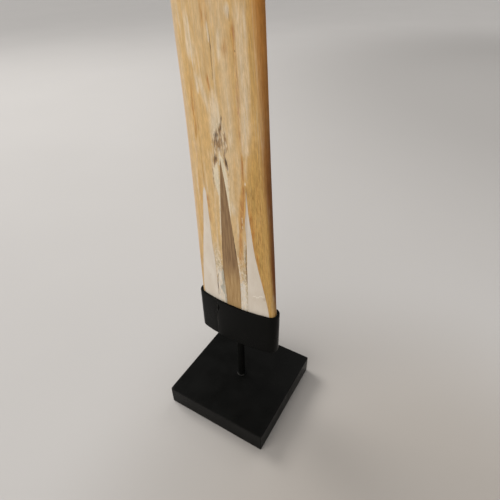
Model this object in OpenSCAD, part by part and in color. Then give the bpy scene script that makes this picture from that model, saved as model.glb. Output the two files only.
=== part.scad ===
// Didgeridoo with a flat oval bell, standing in a steel socket on a square base.
// Millimetres, +Z up. The origin is the middle of the base's underside, the front faces -Y,
// and +X runs along the bell's long axis.

/* [Base] */
// Side of the square steel plate
plate_side = 150; // [130:1:200]
// Thickness of the plate
plate_t = 30; // [24:1:40]
// Chamfer on the plate's four upright corners
plate_chamfer = 0.8; // [0.4:0.1:2]
// Thickness of the felt under the plate
base_felt_t = 0.8; // [0.5:0.1:2]

/* [Post] */
// Diameter of the post
post_d = 10.5; // [9:0.5:14]
// Free length of the post between plate and socket
post_len = 86.2; // [50:0.1:120]
// Diameter of the foot ring around the post
foot_ring_d = 14; // [13:0.5:18]
// Height of the foot ring
foot_ring_h = 1.4; // [0.8:0.1:2.5]
// Nominal diameter of the screw that holds the post
screw_d = 6; // [5:1:6]
// Length of the screw
screw_len = 44; // [40:1:48]

/* [Socket] */
// Length of the socket outside
socket_l = 115.6; // [112:0.2:130]
// Thickness of the socket outside, at the middle of its bowed faces
socket_w = 31.2; // [30:0.2:40]
// Outer radius of the socket's two narrow ends
socket_end_r = 10.7; // [10:0.1:12]
// Height of the bent strip
strip_h = 63; // [50:1:80]
// Thickness of the bent strip
strip_t = 3; // [2:0.5:3]
// Thickness of the felt between strip and tube
liner_t = 0.8; // [0.5:0.1:1]
// Thickness of the felt under the tube's end
floor_felt_t = 1.5; // [1:0.1:3]
// Width of the welded seam in the strip
seam_w = 1.4; // [1:0.1:2.5]
// Distance of the seam from the middle of the front
seam_x = 25.5; // [20:0.5:36]

/* [Tube] */
// Length of the wooden tube
tube_len = 1128.5; // [1120:0.5:1140]
// Radial play between the tube and its felt
tube_play = 0.1; // [0.05:0.05:0.2]
// Heights above the tube's end of four sections between socket and mouth
section_h = [142, 279, 384, 679]; // [120:1:700]
// Widths of the tube at those sections
section_w = [102, 92.8, 89.6, 75.2]; // [60:0.2:106]
// Thicknesses of the tube at those sections
section_t = [24.6, 26.2, 28.2, 36.4]; // [24:0.2:40]
// Radii of the tube's narrow sides at those sections
section_r = [7.2, 8, 9, 13.4]; // [7:0.2:14]
// Sideways steps of the tube's middle at those sections, as it leans
section_x = [-2.3, -6.3, -10.7, -21.1]; // [-24:0.1:0]
// Width of the tube at its mouth
mouth_w = 45; // [42:0.5:48]
// Sideways step of the mouth
mouth_x = -36.6; // [-40:0.1:-30]
// Straight stretch of the tube below its mouth
mouth_h = 22; // [18:1:30]
// Heights at which each half of the tube is divided into lengths
length_cuts = [264, 540, 830]; // [260:2:900]
// Wall of the tube at its bell, in the socket
bell_wall = 4.3; // [4:0.1:4.6]
// Wall of the tube at its mouth
mouth_wall = 7; // [6:0.1:8]

/* [Inlays] */
// Height of the heartwood wedge above the tube's end
heart_h = 256; // [235:1:280]
// Height of the left filler above the tube's end
left_h = 218; // [216:1:235]
// Height of the right filler above the tube's end
right_h = 225; // [210:1:240]
// Depth of the inlays
inlay_depth = 2.1; // [1.5:0.1:2.4]

/* [Wax mouthpiece] */
// Bore of the mouthpiece
mouthpiece_bore = 28; // [26:0.5:29]
// Diameter of the mouthpiece outside
mouthpiece_d = 47.6; // [47:0.2:50]
// Depth that the wax reaches down outside the tube
wax_lip = 14; // [8:1:16]

/* [Hidden] */
$fn = 96;

steel = [0.10, 0.10, 0.11];
weld_steel = [0.16, 0.16, 0.17];
felt = [0.06, 0.06, 0.06];
pale_wood = [0.83, 0.69, 0.47];
brown_wood = [0.55, 0.42, 0.30];
white_filler = [0.87, 0.83, 0.77];
beeswax = [0.80, 0.58, 0.22];

plate_top = base_felt_t + plate_t;
socket_z = plate_top + post_len;
rim_z = socket_z + strip_h;
floor_top = socket_z + strip_t;
tube_z = floor_top + floor_felt_t;
tube_top = tube_z + tube_len;

screw_clear_d = screw_d + 0.4;
screw_head_d = 2 * screw_d;
screw_head_h = (screw_head_d - screw_d) / 2;
screw_z = base_felt_t + 0.6;
screw_key_d = 4;
tenon_d = post_d - 3.5;
weld_leg = 2.6;
play = 0.02;

tube_inset = strip_t + liner_t + tube_play;
foot_a = socket_l / 2 - tube_inset;
foot_b = socket_w / 2 - tube_inset;
foot_r = socket_end_r - tube_inset;
mouth_a = mouth_w / 2;
mouth_oval = 0.2;
mouth_b = mouth_a - mouth_oval;
mouth_r = mouth_b - 0.3;

// Sections of the tube, each as [height, half width, half thickness, side radius, middle x, wall]
function wall_at(h) = bell_wall + (mouth_wall - bell_wall) * h / tube_len;
straight_foot = [strip_h - strip_t - floor_felt_t, foot_a, foot_b, foot_r, 0, bell_wall];
straight_mouth = [tube_len - mouth_h, mouth_a, mouth_b, mouth_r, mouth_x, mouth_wall];
SECTIONS = concat(
  [straight_foot],
  [for (i = [0:3]) [section_h[i], section_w[i] / 2, section_t[i] / 2, section_r[i],
                    section_x[i], wall_at(section_h[i])]],
  [straight_mouth]
);
last = len(SECTIONS) - 1;

// Slope of column k of the sections at section i, from its two neighbours
function slope(i, k) =
  let (lo = max(i - 1, 0), hi = min(i + 1, last))
  (SECTIONS[hi][k] - SECTIONS[lo][k]) / (SECTIONS[hi][0] - SECTIONS[lo][0]);

// Smooth curve through column k of the sections, at height h
function smooth_at(i, k, h) =
  let (
    step = SECTIONS[i + 1][0] - SECTIONS[i][0],
    t = (h - SECTIONS[i][0]) / step,
    t2 = t * t,
    t3 = t2 * t
  )
  (2 * t3 - 3 * t2 + 1) * SECTIONS[i][k] + (t3 - 2 * t2 + t) * step * slope(i, k)
  + (3 * t2 - 2 * t3) * SECTIONS[i + 1][k] + (t3 - t2) * step * slope(i + 1, k);

function section_below(h, i = 0) =
  i == last - 1 || h < SECTIONS[i + 1][0] ? i : section_below(h, i + 1);

function section_at(h) =
  h <= SECTIONS[0][0] ? SECTIONS[0]
  : h >= SECTIONS[last][0] ? SECTIONS[last]
  : let (i = section_below(h)) [h, for (k = [1:5]) smooth_at(i, k, h)];

// Half of an oval: bowed face of half width a and half height b between two ends of radius r,
// from the +X end to the -X end, on the side that way (-1 front, 1 back) gives
END_STEPS = 8;
FACE_STEPS = 18;
function half_oval(a, b, r, way) =
  let (
    c = a - r,
    face_r = (c * c + b * b - r * r) / (2 * (b - r)),
    lean = atan2(c, face_r - b)
  )
  concat(
    [for (i = [0:END_STEPS]) let (t = (90 - lean) * i / END_STEPS)
      [c + r * cos(t), way * r * sin(t)]],
    [for (i = [1:FACE_STEPS - 1]) let (t = 90 - lean + 2 * lean * i / FACE_STEPS)
      [face_r * cos(t), way * (b - face_r + face_r * sin(t))]],
    [for (i = [0:END_STEPS]) let (t = 90 + lean + (90 - lean) * i / END_STEPS)
      [-c + r * cos(t), way * r * sin(t)]]
  );
function reversed(list) = [for (i = [len(list) - 1:-1:0]) list[i]];

function whole_oval(a, b, r) =
  let (back = reversed(half_oval(a, b, r, 1)))
  concat(half_oval(a, b, r, -1), [for (i = [1:len(back) - 2]) back[i]]);

// The socket's outline in plan, made inset smaller all round
module socket_outline(inset) {
  polygon(whole_oval(socket_l / 2 - inset, socket_w / 2 - inset, socket_end_r - inset));
}

module socket_ring(outer_inset, inner_inset, low, high) {
  translate([0, 0, low]) linear_extrude(high - low) difference() {
    socket_outline(outer_inset);
    socket_outline(inner_inset);
  }
}

// The upright seam, cut through the strip's front wall
module seam_cut() {
  over = 2;
  translate([-seam_x, -socket_w / 2 - over, socket_z - over])
    cube([seam_w, socket_w / 2, strip_h + 2 * over]);
}

// Heights of the rings of each length of the tube, from the bell up
RING_STEPS = 10;
function even_steps(low, high) = [for (i = [0:RING_STEPS]) low + (high - low) * i / RING_STEPS];
BELL = concat([0], even_steps(straight_foot[0], length_cuts[0]));
LOWER = even_steps(length_cuts[0], length_cuts[1]);
UPPER = even_steps(length_cuts[1], length_cuts[2]);
MOUTH = concat(even_steps(length_cuts[2], straight_mouth[0]), [tube_len]);

// Half a ring of the tube: depth 0 is its surface, depth 1 its bore
function ring_half(h, way, depth) =
  let (s = section_at(h), d = depth * s[5])
  [for (p = half_oval(s[1] - d, s[2] - d, s[3] - d, way)) [p[0] + s[4], p[1], h]];

// A length of one half of the tube, hollow or, to cut inlays from, as a solid core
module half_tube(heights, way, solid_core = false) {
  rings = [for (h = heights)
    concat(ring_half(h, way, 0), solid_core ? [] : reversed(ring_half(h, way, 1)))];
  n = len(rings[0]);
  m = len(rings);
  sides = [for (j = [0:m - 2]) for (i = [0:n - 1]) let (k = (i + 1) % n)
    each [[j * n + i, j * n + k, (j + 1) * n + k], [j * n + i, (j + 1) * n + k, (j + 1) * n + i]]];
  // A hollow end is a strip of four-sided faces, a solid end one face
  end = solid_core ? [[for (i = [0:n - 1]) i]]
    : [for (i = [0:n / 2 - 2]) [i, i + 1, n - 2 - i, n - 1 - i]];
  foot = [for (f = end) reversed(f)];
  top = [for (f = end) [for (v = f) v + (m - 1) * n]];
  faces = concat(sides, foot, top);
  translate([0, 0, tube_z])
    polyhedron(
      points = [for (ring = rings) each ring],
      faces = way < 0 ? faces : [for (f = faces) reversed(f)],
      convexity = 8
    );
}

// Cutter of an inlay: an outline in the front view, sunk square to the face at middle_x
module inlay_cut(outline, middle_x) {
  face_r = (pow(foot_a - foot_r, 2) + foot_b * foot_b - foot_r * foot_r) / (2 * (foot_b - foot_r));
  face_y = foot_b - face_r + sqrt(face_r * face_r - middle_x * middle_x);
  tilt = asin(middle_x / face_r);
  translate([middle_x, inlay_depth - face_y, tube_z]) rotate([0, 0, tilt]) rotate([90, 0, 0])
    linear_extrude(8) translate([-middle_x, 0]) polygon(outline);
}

module heart_cut() {
  inlay_cut([
    [-10.3, -1], [10.9, -1], [11, 90], [10.3, 112], [6.3, 150], [1.6, 190], [-2.5, 227],
    [-7, heart_h], [-9.5, 217], [-11.6, 165], [-12.9, 119], [-10.3, 62]
  ], 0);
}

module left_cut() {
  inlay_cut([
    [-48.4, -1], [-23.2, -1], [-23.2, 70], [-24.5, 124], [-26.7, 143], [-28.8, 196], [-29.2, 214],
    [-31.4, left_h], [-33.4, 214], [-35.4, 195], [-37.7, 169], [-41.6, 141], [-45.5, 108], [-48.4, 76]
  ], -34.5);
}

module right_cut() {
  inlay_cut([
    [20.3, -1], [48, -1], [47.8, 60], [44.3, 80], [38.5, 106], [33.9, 126], [29.3, 148], [25, 180],
    [22.3, 201], [20.4, right_h], [19.9, 201], [18.8, 188], [20.3, 160]
  ], 34);
}

module base_plate() {
  s = plate_side / 2;
  k = s - plate_chamfer;
  color(steel) translate([0, 0, base_felt_t]) difference() {
    linear_extrude(plate_t)
      polygon([[-k, -s], [k, -s], [s, -k], [s, k], [k, s], [-k, s], [-s, k], [-s, -k]]);
    translate([0, 0, -1]) cylinder(d = screw_clear_d, h = plate_t + 2);
    translate([0, 0, -1])
      cylinder(d = screw_head_d + 0.4, h = 1 + screw_z - base_felt_t);
    translate([0, 0, screw_z - base_felt_t])
      cylinder(d1 = screw_head_d + 0.4, d2 = screw_clear_d, h = screw_head_h);
  }
}

module base_felt() {
  side = plate_side - 4;
  color(felt) difference() {
    translate([-side / 2, -side / 2, 0]) cube([side, side, base_felt_t]);
    translate([0, 0, -1]) cylinder(d = screw_head_d + 4, h = base_felt_t + 2);
  }
}

module post() {
  thread_depth = screw_z + screw_len - plate_top + 3;
  color(steel) difference() {
    union() {
      translate([0, 0, plate_top]) cylinder(d = post_d, h = post_len);
      translate([0, 0, socket_z]) cylinder(d = tenon_d, h = strip_t);
    }
    translate([0, 0, plate_top - 1]) cylinder(d = screw_d, h = thread_depth + 1);
  }
}

module post_foot_ring() {
  bevel = 0.5;
  inner = post_d / 2 + play;
  outer = foot_ring_d / 2;
  color(steel) translate([0, 0, plate_top]) rotate_extrude()
    polygon([[inner, 0], [outer, 0], [outer, foot_ring_h - bevel],
             [outer - bevel, foot_ring_h], [inner, foot_ring_h]]);
}

module post_screw() {
  key_depth = 2.4;
  color(weld_steel) translate([0, 0, screw_z]) difference() {
    union() {
      cylinder(d1 = screw_head_d, d2 = screw_d, h = screw_head_h);
      cylinder(d = screw_d - 2 * play, h = screw_len);
    }
    translate([0, 0, -1]) cylinder(d = screw_key_d, h = 1 + key_depth, $fn = 6);
  }
}

module post_weld() {
  inner = post_d / 2 + play;
  color(weld_steel) translate([0, 0, socket_z]) rotate_extrude()
    polygon([[inner, 0], [inner, -weld_leg], [inner + weld_leg, 0]]);
}

module socket_floor() {
  color(steel) difference() {
    translate([0, 0, socket_z]) linear_extrude(strip_t) socket_outline(strip_t);
    translate([0, 0, socket_z - 1]) cylinder(d = tenon_d, h = strip_t + 2);
  }
}

module socket_strip() {
  color(steel) difference() {
    socket_ring(0, strip_t, socket_z, rim_z);
    seam_cut();
  }
}

module strip_weld() {
  color(weld_steel) intersection() {
    socket_ring(0, strip_t, socket_z, rim_z);
    seam_cut();
  }
}

module socket_liner() {
  below_rim = 0.6;
  color(felt) socket_ring(strip_t, strip_t + liner_t, floor_top, rim_z - below_rim);
}

module floor_felt() {
  color(felt) translate([0, 0, floor_top]) linear_extrude(floor_felt_t)
    socket_outline(strip_t + liner_t);
}

module tube_bell_front() {
  color(pale_wood) difference() {
    half_tube(BELL, -1);
    heart_cut();
    left_cut();
    right_cut();
  }
}

module tube_bell_back() {
  color(pale_wood) half_tube(BELL, 1);
}

module tube_lower_front() {
  color(pale_wood) half_tube(LOWER, -1);
}

module tube_lower_back() {
  color(pale_wood) half_tube(LOWER, 1);
}

module tube_upper_front() {
  color(pale_wood) half_tube(UPPER, -1);
}

module tube_upper_back() {
  color(pale_wood) half_tube(UPPER, 1);
}

module tube_mouth_front() {
  color(pale_wood) half_tube(MOUTH, -1);
}

module tube_mouth_back() {
  color(pale_wood) half_tube(MOUTH, 1);
}

module heartwood_wedge() {
  color(brown_wood) intersection() {
    half_tube(BELL, -1, solid_core = true);
    heart_cut();
  }
}

module filler_left() {
  color(white_filler) intersection() {
    half_tube(BELL, -1, solid_core = true);
    left_cut();
  }
}

module filler_right() {
  color(white_filler) intersection() {
    half_tube(BELL, -1, solid_core = true);
    right_cut();
  }
}

module mouthpiece_ring() {
  gap = 0.05;
  bore_r = mouthpiece_bore / 2;
  outer_r = mouthpiece_d / 2;
  bead_r = (outer_r - bore_r) / 2;
  bead_rise = 1.1;
  wood_in = mouth_b - mouth_wall - 2 * gap;
  color(beeswax) translate([mouth_x, 0, tube_top]) rotate_extrude() difference() {
    union() {
      translate([bore_r + bead_r, bead_rise]) circle(bead_r);
      translate([bore_r, -wax_lip]) square([2 * bead_r, wax_lip + bead_rise]);
    }
    translate([wood_in, -wax_lip - 1]) square([mouth_a + gap - wood_in, wax_lip + 1]);
  }
}

base_plate();
base_felt();
post();
post_foot_ring();
post_screw();
post_weld();
socket_floor();
socket_strip();
strip_weld();
socket_liner();
floor_felt();
tube_bell_front();
tube_bell_back();
tube_lower_front();
tube_lower_back();
tube_upper_front();
tube_upper_back();
tube_mouth_front();
tube_mouth_back();
heartwood_wedge();
filler_left();
filler_right();
mouthpiece_ring();
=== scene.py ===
from math import cos, pi, radians, sin

import bmesh
import bpy
import numpy as np
from mathutils import Matrix, Vector


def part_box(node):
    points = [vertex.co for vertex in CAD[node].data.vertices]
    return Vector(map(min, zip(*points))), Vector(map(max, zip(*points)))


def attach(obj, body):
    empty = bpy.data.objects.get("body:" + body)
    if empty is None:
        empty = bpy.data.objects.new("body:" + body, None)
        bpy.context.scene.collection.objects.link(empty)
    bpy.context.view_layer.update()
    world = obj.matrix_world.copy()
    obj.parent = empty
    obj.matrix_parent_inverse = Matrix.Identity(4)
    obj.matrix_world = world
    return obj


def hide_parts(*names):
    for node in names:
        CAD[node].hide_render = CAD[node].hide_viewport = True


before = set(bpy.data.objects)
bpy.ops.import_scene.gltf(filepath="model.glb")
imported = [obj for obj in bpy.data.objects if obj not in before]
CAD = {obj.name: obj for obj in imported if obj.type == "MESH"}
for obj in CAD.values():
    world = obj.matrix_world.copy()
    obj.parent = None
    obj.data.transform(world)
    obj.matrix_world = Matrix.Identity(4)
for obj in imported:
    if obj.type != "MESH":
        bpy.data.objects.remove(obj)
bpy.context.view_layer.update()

MM = 0.001
SAME = 0.02 * MM  # points nearer than this in height lie on one ring
STAND, INSTRUMENT = "stand", "instrument"
HALF_LENGTHS = ("bell", "lower", "upper", "mouth")
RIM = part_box("socket_strip")[1].z
TUBE_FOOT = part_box("tube_bell_front")[0].z
TUBE_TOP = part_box("tube_mouth_front")[1].z


# ---- colours and noise

def tint(red, green, blue):
    """A colour given as it looks, 0 to 255, as the linear values that a shader takes."""
    return tuple((((c / 255) + 0.055) / 1.055) ** 2.4 if c > 10 else c / 3294 for c in (red, green, blue))


def smooth(value, low, high):
    """0 below low, 1 above high, and an even curve between them."""
    t = np.clip((value - low) / (high - low), 0, 1)
    return t * t * (3 - 2 * t)


def hump(value):
    """1 at 0, falling away evenly on both sides."""
    return np.exp(-value**2)


def noise(u, v, seed):
    """Soft bumps from -1 to 1 over the points (u, v), about one to a unit."""
    table = np.random.default_rng(seed).uniform(-1, 1, (256, 256))
    i, j = np.floor(u).astype(int), np.floor(v).astype(int)
    s, t = smooth(u - i, 0, 1), smooth(v - j, 0, 1)
    near = table[i % 256, j % 256] * (1 - s) + table[(i + 1) % 256, j % 256] * s
    far = table[i % 256, (j + 1) % 256] * (1 - s) + table[(i + 1) % 256, (j + 1) % 256] * s
    return near * (1 - t) + far * t


def rough(u, v, seed, octaves=3):
    """Noise with finer, weaker bumps on top."""
    return sum(noise(u * 2**k, v * 2**k, seed + k) / 2**k for k in range(octaves))


# ---- sections, from the frame

def points_of(obj):
    """The points of an object's mesh, one to a row."""
    co = np.empty(len(obj.data.vertices) * 3)
    obj.data.vertices.foreach_get("co", co)
    return co.reshape(-1, 3)


def side_radius(ring, right):
    """Radius of an oval's narrow side, from the ring's lowest point off the middle plane."""
    near = ring[(ring[:, 1] > 0.001 * MM) & (right - ring[:, 0] < 0.6 * MM)]
    x, y = near[near[:, 1].argmin(), :2]
    gap = right - x
    return (gap**2 + y**2) / (2 * gap)


def tube_rings():
    """The tube's sections, bell to mouth: height, middle x, half width, half thickness,
    side radius and wall."""
    rows = {}
    for part in HALF_LENGTHS:
        co = points_of(CAD[f"tube_{part}_back"])
        for z in np.unique(np.round(co[:, 2], 5)):
            ring = co[abs(co[:, 2] - z) < SAME]
            seam = np.sort(ring[ring[:, 1] < 0.001 * MM, 0])
            seam = seam[np.r_[True, np.diff(seam) > 0.1 * MM]]
            left, right = seam[0], seam[-1]
            rows[z] = (z, (left + right) / 2, (right - left) / 2, ring[:, 1].max(),
                       side_radius(ring, right), right - seam[-2])
    return np.array([rows[z] for z in sorted(rows)])


RINGS = tube_rings()


def section(z):
    """Middle x, half width, half thickness, side radius and wall at heights z, on smooth
    curves through the rings."""
    z = np.clip(z, RINGS[0, 0], RINGS[-1, 0])
    slopes = np.gradient(RINGS[:, 1:], RINGS[:, 0], axis=0)
    i = np.clip(np.searchsorted(RINGS[:, 0], z, side="right") - 1, 0, len(RINGS) - 2)
    step = RINGS[i + 1, 0] - RINGS[i, 0]
    t = ((z - RINGS[i, 0]) / step)[..., None]
    step = step[..., None]
    low, high = RINGS[i, 1:], RINGS[i + 1, 1:]
    curve = ((2 * t**3 - 3 * t**2 + 1) * low + (t**3 - 2 * t**2 + t) * step * slopes[i]
             + (3 * t**2 - 2 * t**3) * high + (t**3 - t**2) * step * slopes[i + 1])
    curve = np.where((z < RINGS[1, 0])[..., None], RINGS[0, 1:], curve)
    return np.moveaxis(curve, -1, 0)


def face_arc(a, b, r):
    """Radius and half angle of the bowed face of an oval."""
    c = a - r
    face_r = (c**2 + b**2 - r**2) / (2 * (b - r))
    return face_r, np.arctan2(c, face_r - b)


def half_oval(a, b, r, ends, faces):
    """Points and outward normals of half an oval, +X end to -X end, y positive. a, b and r
    hold one value per row; ends and faces are the steps along each stretch, from 0 to 1."""
    a, b, r = (np.asarray(q)[:, None] for q in (a, b, r))
    face_r, lean = face_arc(a, b, r)
    c = a - r
    t = (pi / 2 - lean) * ends[None, :]
    right = (c + r * np.cos(t), r * np.sin(t), t)
    t = pi / 2 - lean + 2 * lean * faces[None, 1:-1]
    face = (face_r * np.cos(t), b - face_r + face_r * np.sin(t), t)
    t = pi / 2 + lean + (pi / 2 - lean) * (1 - ends[None, ::-1])
    left = (-c + r * np.cos(t), r * np.sin(t), t)
    x, y, t = (np.concatenate([p[k] for p in (right, face, left)], 1) for k in range(3))
    return x, y, np.cos(t), np.sin(t)


def whole_oval(a, b, r, ends, faces):
    """Points and normals all round an oval, starting at the +X end and going by the front."""
    x, y, nx, ny = (q[0] for q in half_oval([a], [b], [r], ends, faces))
    front = np.column_stack([x, -y, nx, -ny])
    back = np.column_stack([x, y, nx, ny])[::-1][1:-1]
    return np.concatenate([front, back])


def front_y(x, z):
    """Depth of the tube's front face at (x, z), and the direction in plan that it faces."""
    middle, a, b, r, _ = section(z)
    face_r = face_arc(a, b, r)[0]
    turn = np.arcsin(np.clip((x - middle) / face_r, -1, 1))
    return -(b - face_r + face_r * np.cos(turn)), np.sin(turn), -np.cos(turn)


# ---- meshes

def grid(rows, cols, start=0, across=False, along=False):
    """Faces of a grid of rows x cols points, closed across or along where that is asked."""
    i = np.arange(rows if along else rows - 1)[:, None]
    j = np.arange(cols if across else cols - 1)[None, :]
    i2, j2 = (i + 1) % rows, (j + 1) % cols
    quads = np.stack([i * cols + j, i * cols + j2, i2 * cols + j2, i2 * cols + j], -1)
    return (quads.reshape(-1, 4) + start).tolist()


def bridge(outer, inner):
    """Faces between two edges that run side by side and have different numbers of points."""
    at = np.round(np.linspace(0, len(inner) - 1, len(outer))).astype(int)
    faces = []
    for i in range(len(outer) - 1):
        j, k = at[i], at[i + 1]
        face = [outer[i], outer[i + 1], inner[k], inner[j]]
        faces.append(face if k > j else face[:3])
    return faces


def flat_bar(rows, across):
    """Faces of a closed bar of rows rings, each with its points across the top and back
    across the bottom."""
    faces = grid(rows, 2 * across, across=True)
    for row in (0, rows - 1):
        first = row * 2 * across
        last = first + 2 * across - 1
        end = [[first + i, first + i + 1, last - 1 - i, last - i] for i in range(across - 1)]
        faces += end if row else [f[::-1] for f in end]
    return faces


def piece(name, points, faces, body, replaces=(), materials=(), index=None, crease=40):
    """A mesh object that rides on a body, stands for CAD nodes and has its finish. index says
    which material each face has, and crease is the angle from which an edge looks sharp."""
    mesh = bpy.data.meshes.new(name)
    mesh.from_pydata(np.asarray(points, float).reshape(-1, 3).tolist(), [], faces)
    for material in materials:
        mesh.materials.append(material)
    if index is not None:
        mesh.polygons.foreach_set("material_index", np.asarray(index, np.int32))
    mesh.validate()
    obj = bpy.data.objects.new(name, mesh)
    bpy.context.scene.collection.objects.link(obj)
    outward(mesh)
    settle(obj, crease)
    if body:
        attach(obj, body)
    if replaces:
        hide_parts(*replaces)
    return obj


def outward(mesh):
    """Turns every face of a closed mesh outward."""
    work = bmesh.new()
    work.from_mesh(mesh)
    bmesh.ops.recalc_face_normals(work, faces=work.faces)
    work.to_mesh(mesh)
    work.free()


def settle(obj, crease=40):
    """Smooth shading, apart from edges that turn by more than crease degrees."""
    obj.data.shade_smooth()
    obj.data.set_sharp_from_angle(angle=radians(crease))


def paint(obj, name, values):
    """A value or a vector at each point of the mesh, which a material reads by name."""
    values = np.asarray(values, np.float32)
    kind, key = ("FLOAT_VECTOR", "vector") if values.ndim == 2 else ("FLOAT", "value")
    layer = obj.data.attributes.new(name, kind, "POINT")
    layer.data.foreach_set(key, values.ravel())


# ---- materials

class Finish:
    """A node material, and short calls for the nodes that feed its shader."""

    def __init__(self, name):
        self.material = bpy.data.materials.new(name)
        self.material.use_nodes = True
        self.tree = self.material.node_tree
        self.shader = self.tree.nodes["Principled BSDF"]

    def node(self, kind, inputs, **settings):
        made = self.tree.nodes.new("ShaderNode" + kind)
        for key, value in settings.items():
            setattr(made, key, value)
        for key, value in inputs.items():
            self.feed(value, made.inputs[key])
        return made

    def feed(self, value, socket):
        if isinstance(value, bpy.types.NodeSocket):
            self.tree.links.new(value, socket)
        elif isinstance(value, tuple) and socket.type == "RGBA":
            socket.default_value = (*value, 1)
        else:
            socket.default_value = value

    def place(self):
        return self.node("TexCoord", {}).outputs["Object"]

    def layer(self, name, output="Fac"):
        """What paint() left on the mesh under this name."""
        return self.node("Attribute", {}, attribute_name=name).outputs[output]

    def stretch(self, vector, x, y, z):
        """The vector scaled so that one unit is x, y and z millimetres."""
        sizes = (1000 / x, 1000 / y, 1000 / z)
        return self.node("VectorMath", {0: vector, 1: sizes}, operation="MULTIPLY").outputs[0]

    def noise(self, vector, x, y, z, detail=2.0, roughness=0.5, distortion=0.0):
        """Noise whose blotches are about x, y and z millimetres in size."""
        inputs = {"Vector": self.stretch(vector, x, y, z), "Scale": 1.0, "Detail": detail,
                  "Roughness": roughness, "Distortion": distortion}
        return self.node("TexNoise", inputs).outputs["Fac"]

    def cells(self, vector, x, y, z):
        """How far the nearest of some scattered points is, about x, y and z millimetres apart."""
        inputs = {"Vector": self.stretch(vector, x, y, z), "Scale": 1.0}
        return self.node("TexVoronoi", inputs).outputs["Distance"]

    def distance(self, vector, point):
        return self.node("VectorMath", {0: vector, 1: point}, operation="DISTANCE").outputs["Value"]

    def span(self, value, low, high, to_low=0.0, to_high=1.0):
        inputs = {"Value": value, "From Min": low, "From Max": high, "To Min": to_low, "To Max": to_high}
        return self.node("MapRange", inputs, interpolation_type="SMOOTHSTEP").outputs["Result"]

    def maths(self, operation, a, b, c=0.0):
        return self.node("Math", {0: a, 1: b, 2: c}, operation=operation).outputs[0]

    def times(self, a, b):
        return self.maths("MULTIPLY", a, b)

    def sum(self, a, share, b):
        """a times share, plus b."""
        return self.maths("MULTIPLY_ADD", a, share, b)

    def broken(self, layer, breaker, reach):
        """A painted layer whose edge is broken up by a noise: reach is how far."""
        return self.sum(self.maths("SUBTRACT", breaker, 0.5), reach, layer)

    def mix(self, share, a, b, blend="MIX"):
        inputs = {0: share, 6: a, 7: b}
        return self.node("Mix", inputs, data_type="RGBA", blend_type=blend).outputs[2]

    def over(self, colour, stain, value, low, high, most=1.0):
        """The colour, with a stain over it as a value goes from low to high."""
        return self.mix(self.span(value, low, high, 0, most), colour, stain)

    def done(self, height, depth, **inputs):
        """The material, with bumps of a height and a depth in millimetres, and with the shader's
        inputs, whose names are given with _ for a space."""
        inputs["Normal"] = self.node("Bump", {"Height": height, "Distance": depth * MM}).outputs["Normal"]
        for key, value in inputs.items():
            self.feed(value, self.shader.inputs[key.replace("_", " ")])
        return self.material


STRAW = tint(208, 180, 138)
HONEY = tint(206, 169, 112)
AMBER = tint(202, 157, 88)
TAN = tint(188, 143, 86)
CREAM = tint(220, 202, 174)
CHALK = tint(216, 204, 174)
PLASTER = tint(214, 205, 192)
OCHRE = tint(168, 104, 40)
OLIVE = tint(178, 141, 72)
ROSE = tint(198, 172, 146)
DUST = tint(178, 160, 130)
# The narrow side's own brown, also used in the pores; the darker tint below serves for its darker streaks
# and for painted shade towards the bottom.
BARK = tint(194, 132, 64)
DARK_BARK_AND_SHADE = tint(126, 74, 36)
ASH = tint(132, 102, 76)
SLATE = tint(150, 148, 134)
DARK_BROWN = tint(72, 56, 42)
# Darkest brown, for strands of the torn wood and for the painted shade in cracks.
BROWN = tint(138, 94, 42)


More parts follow.
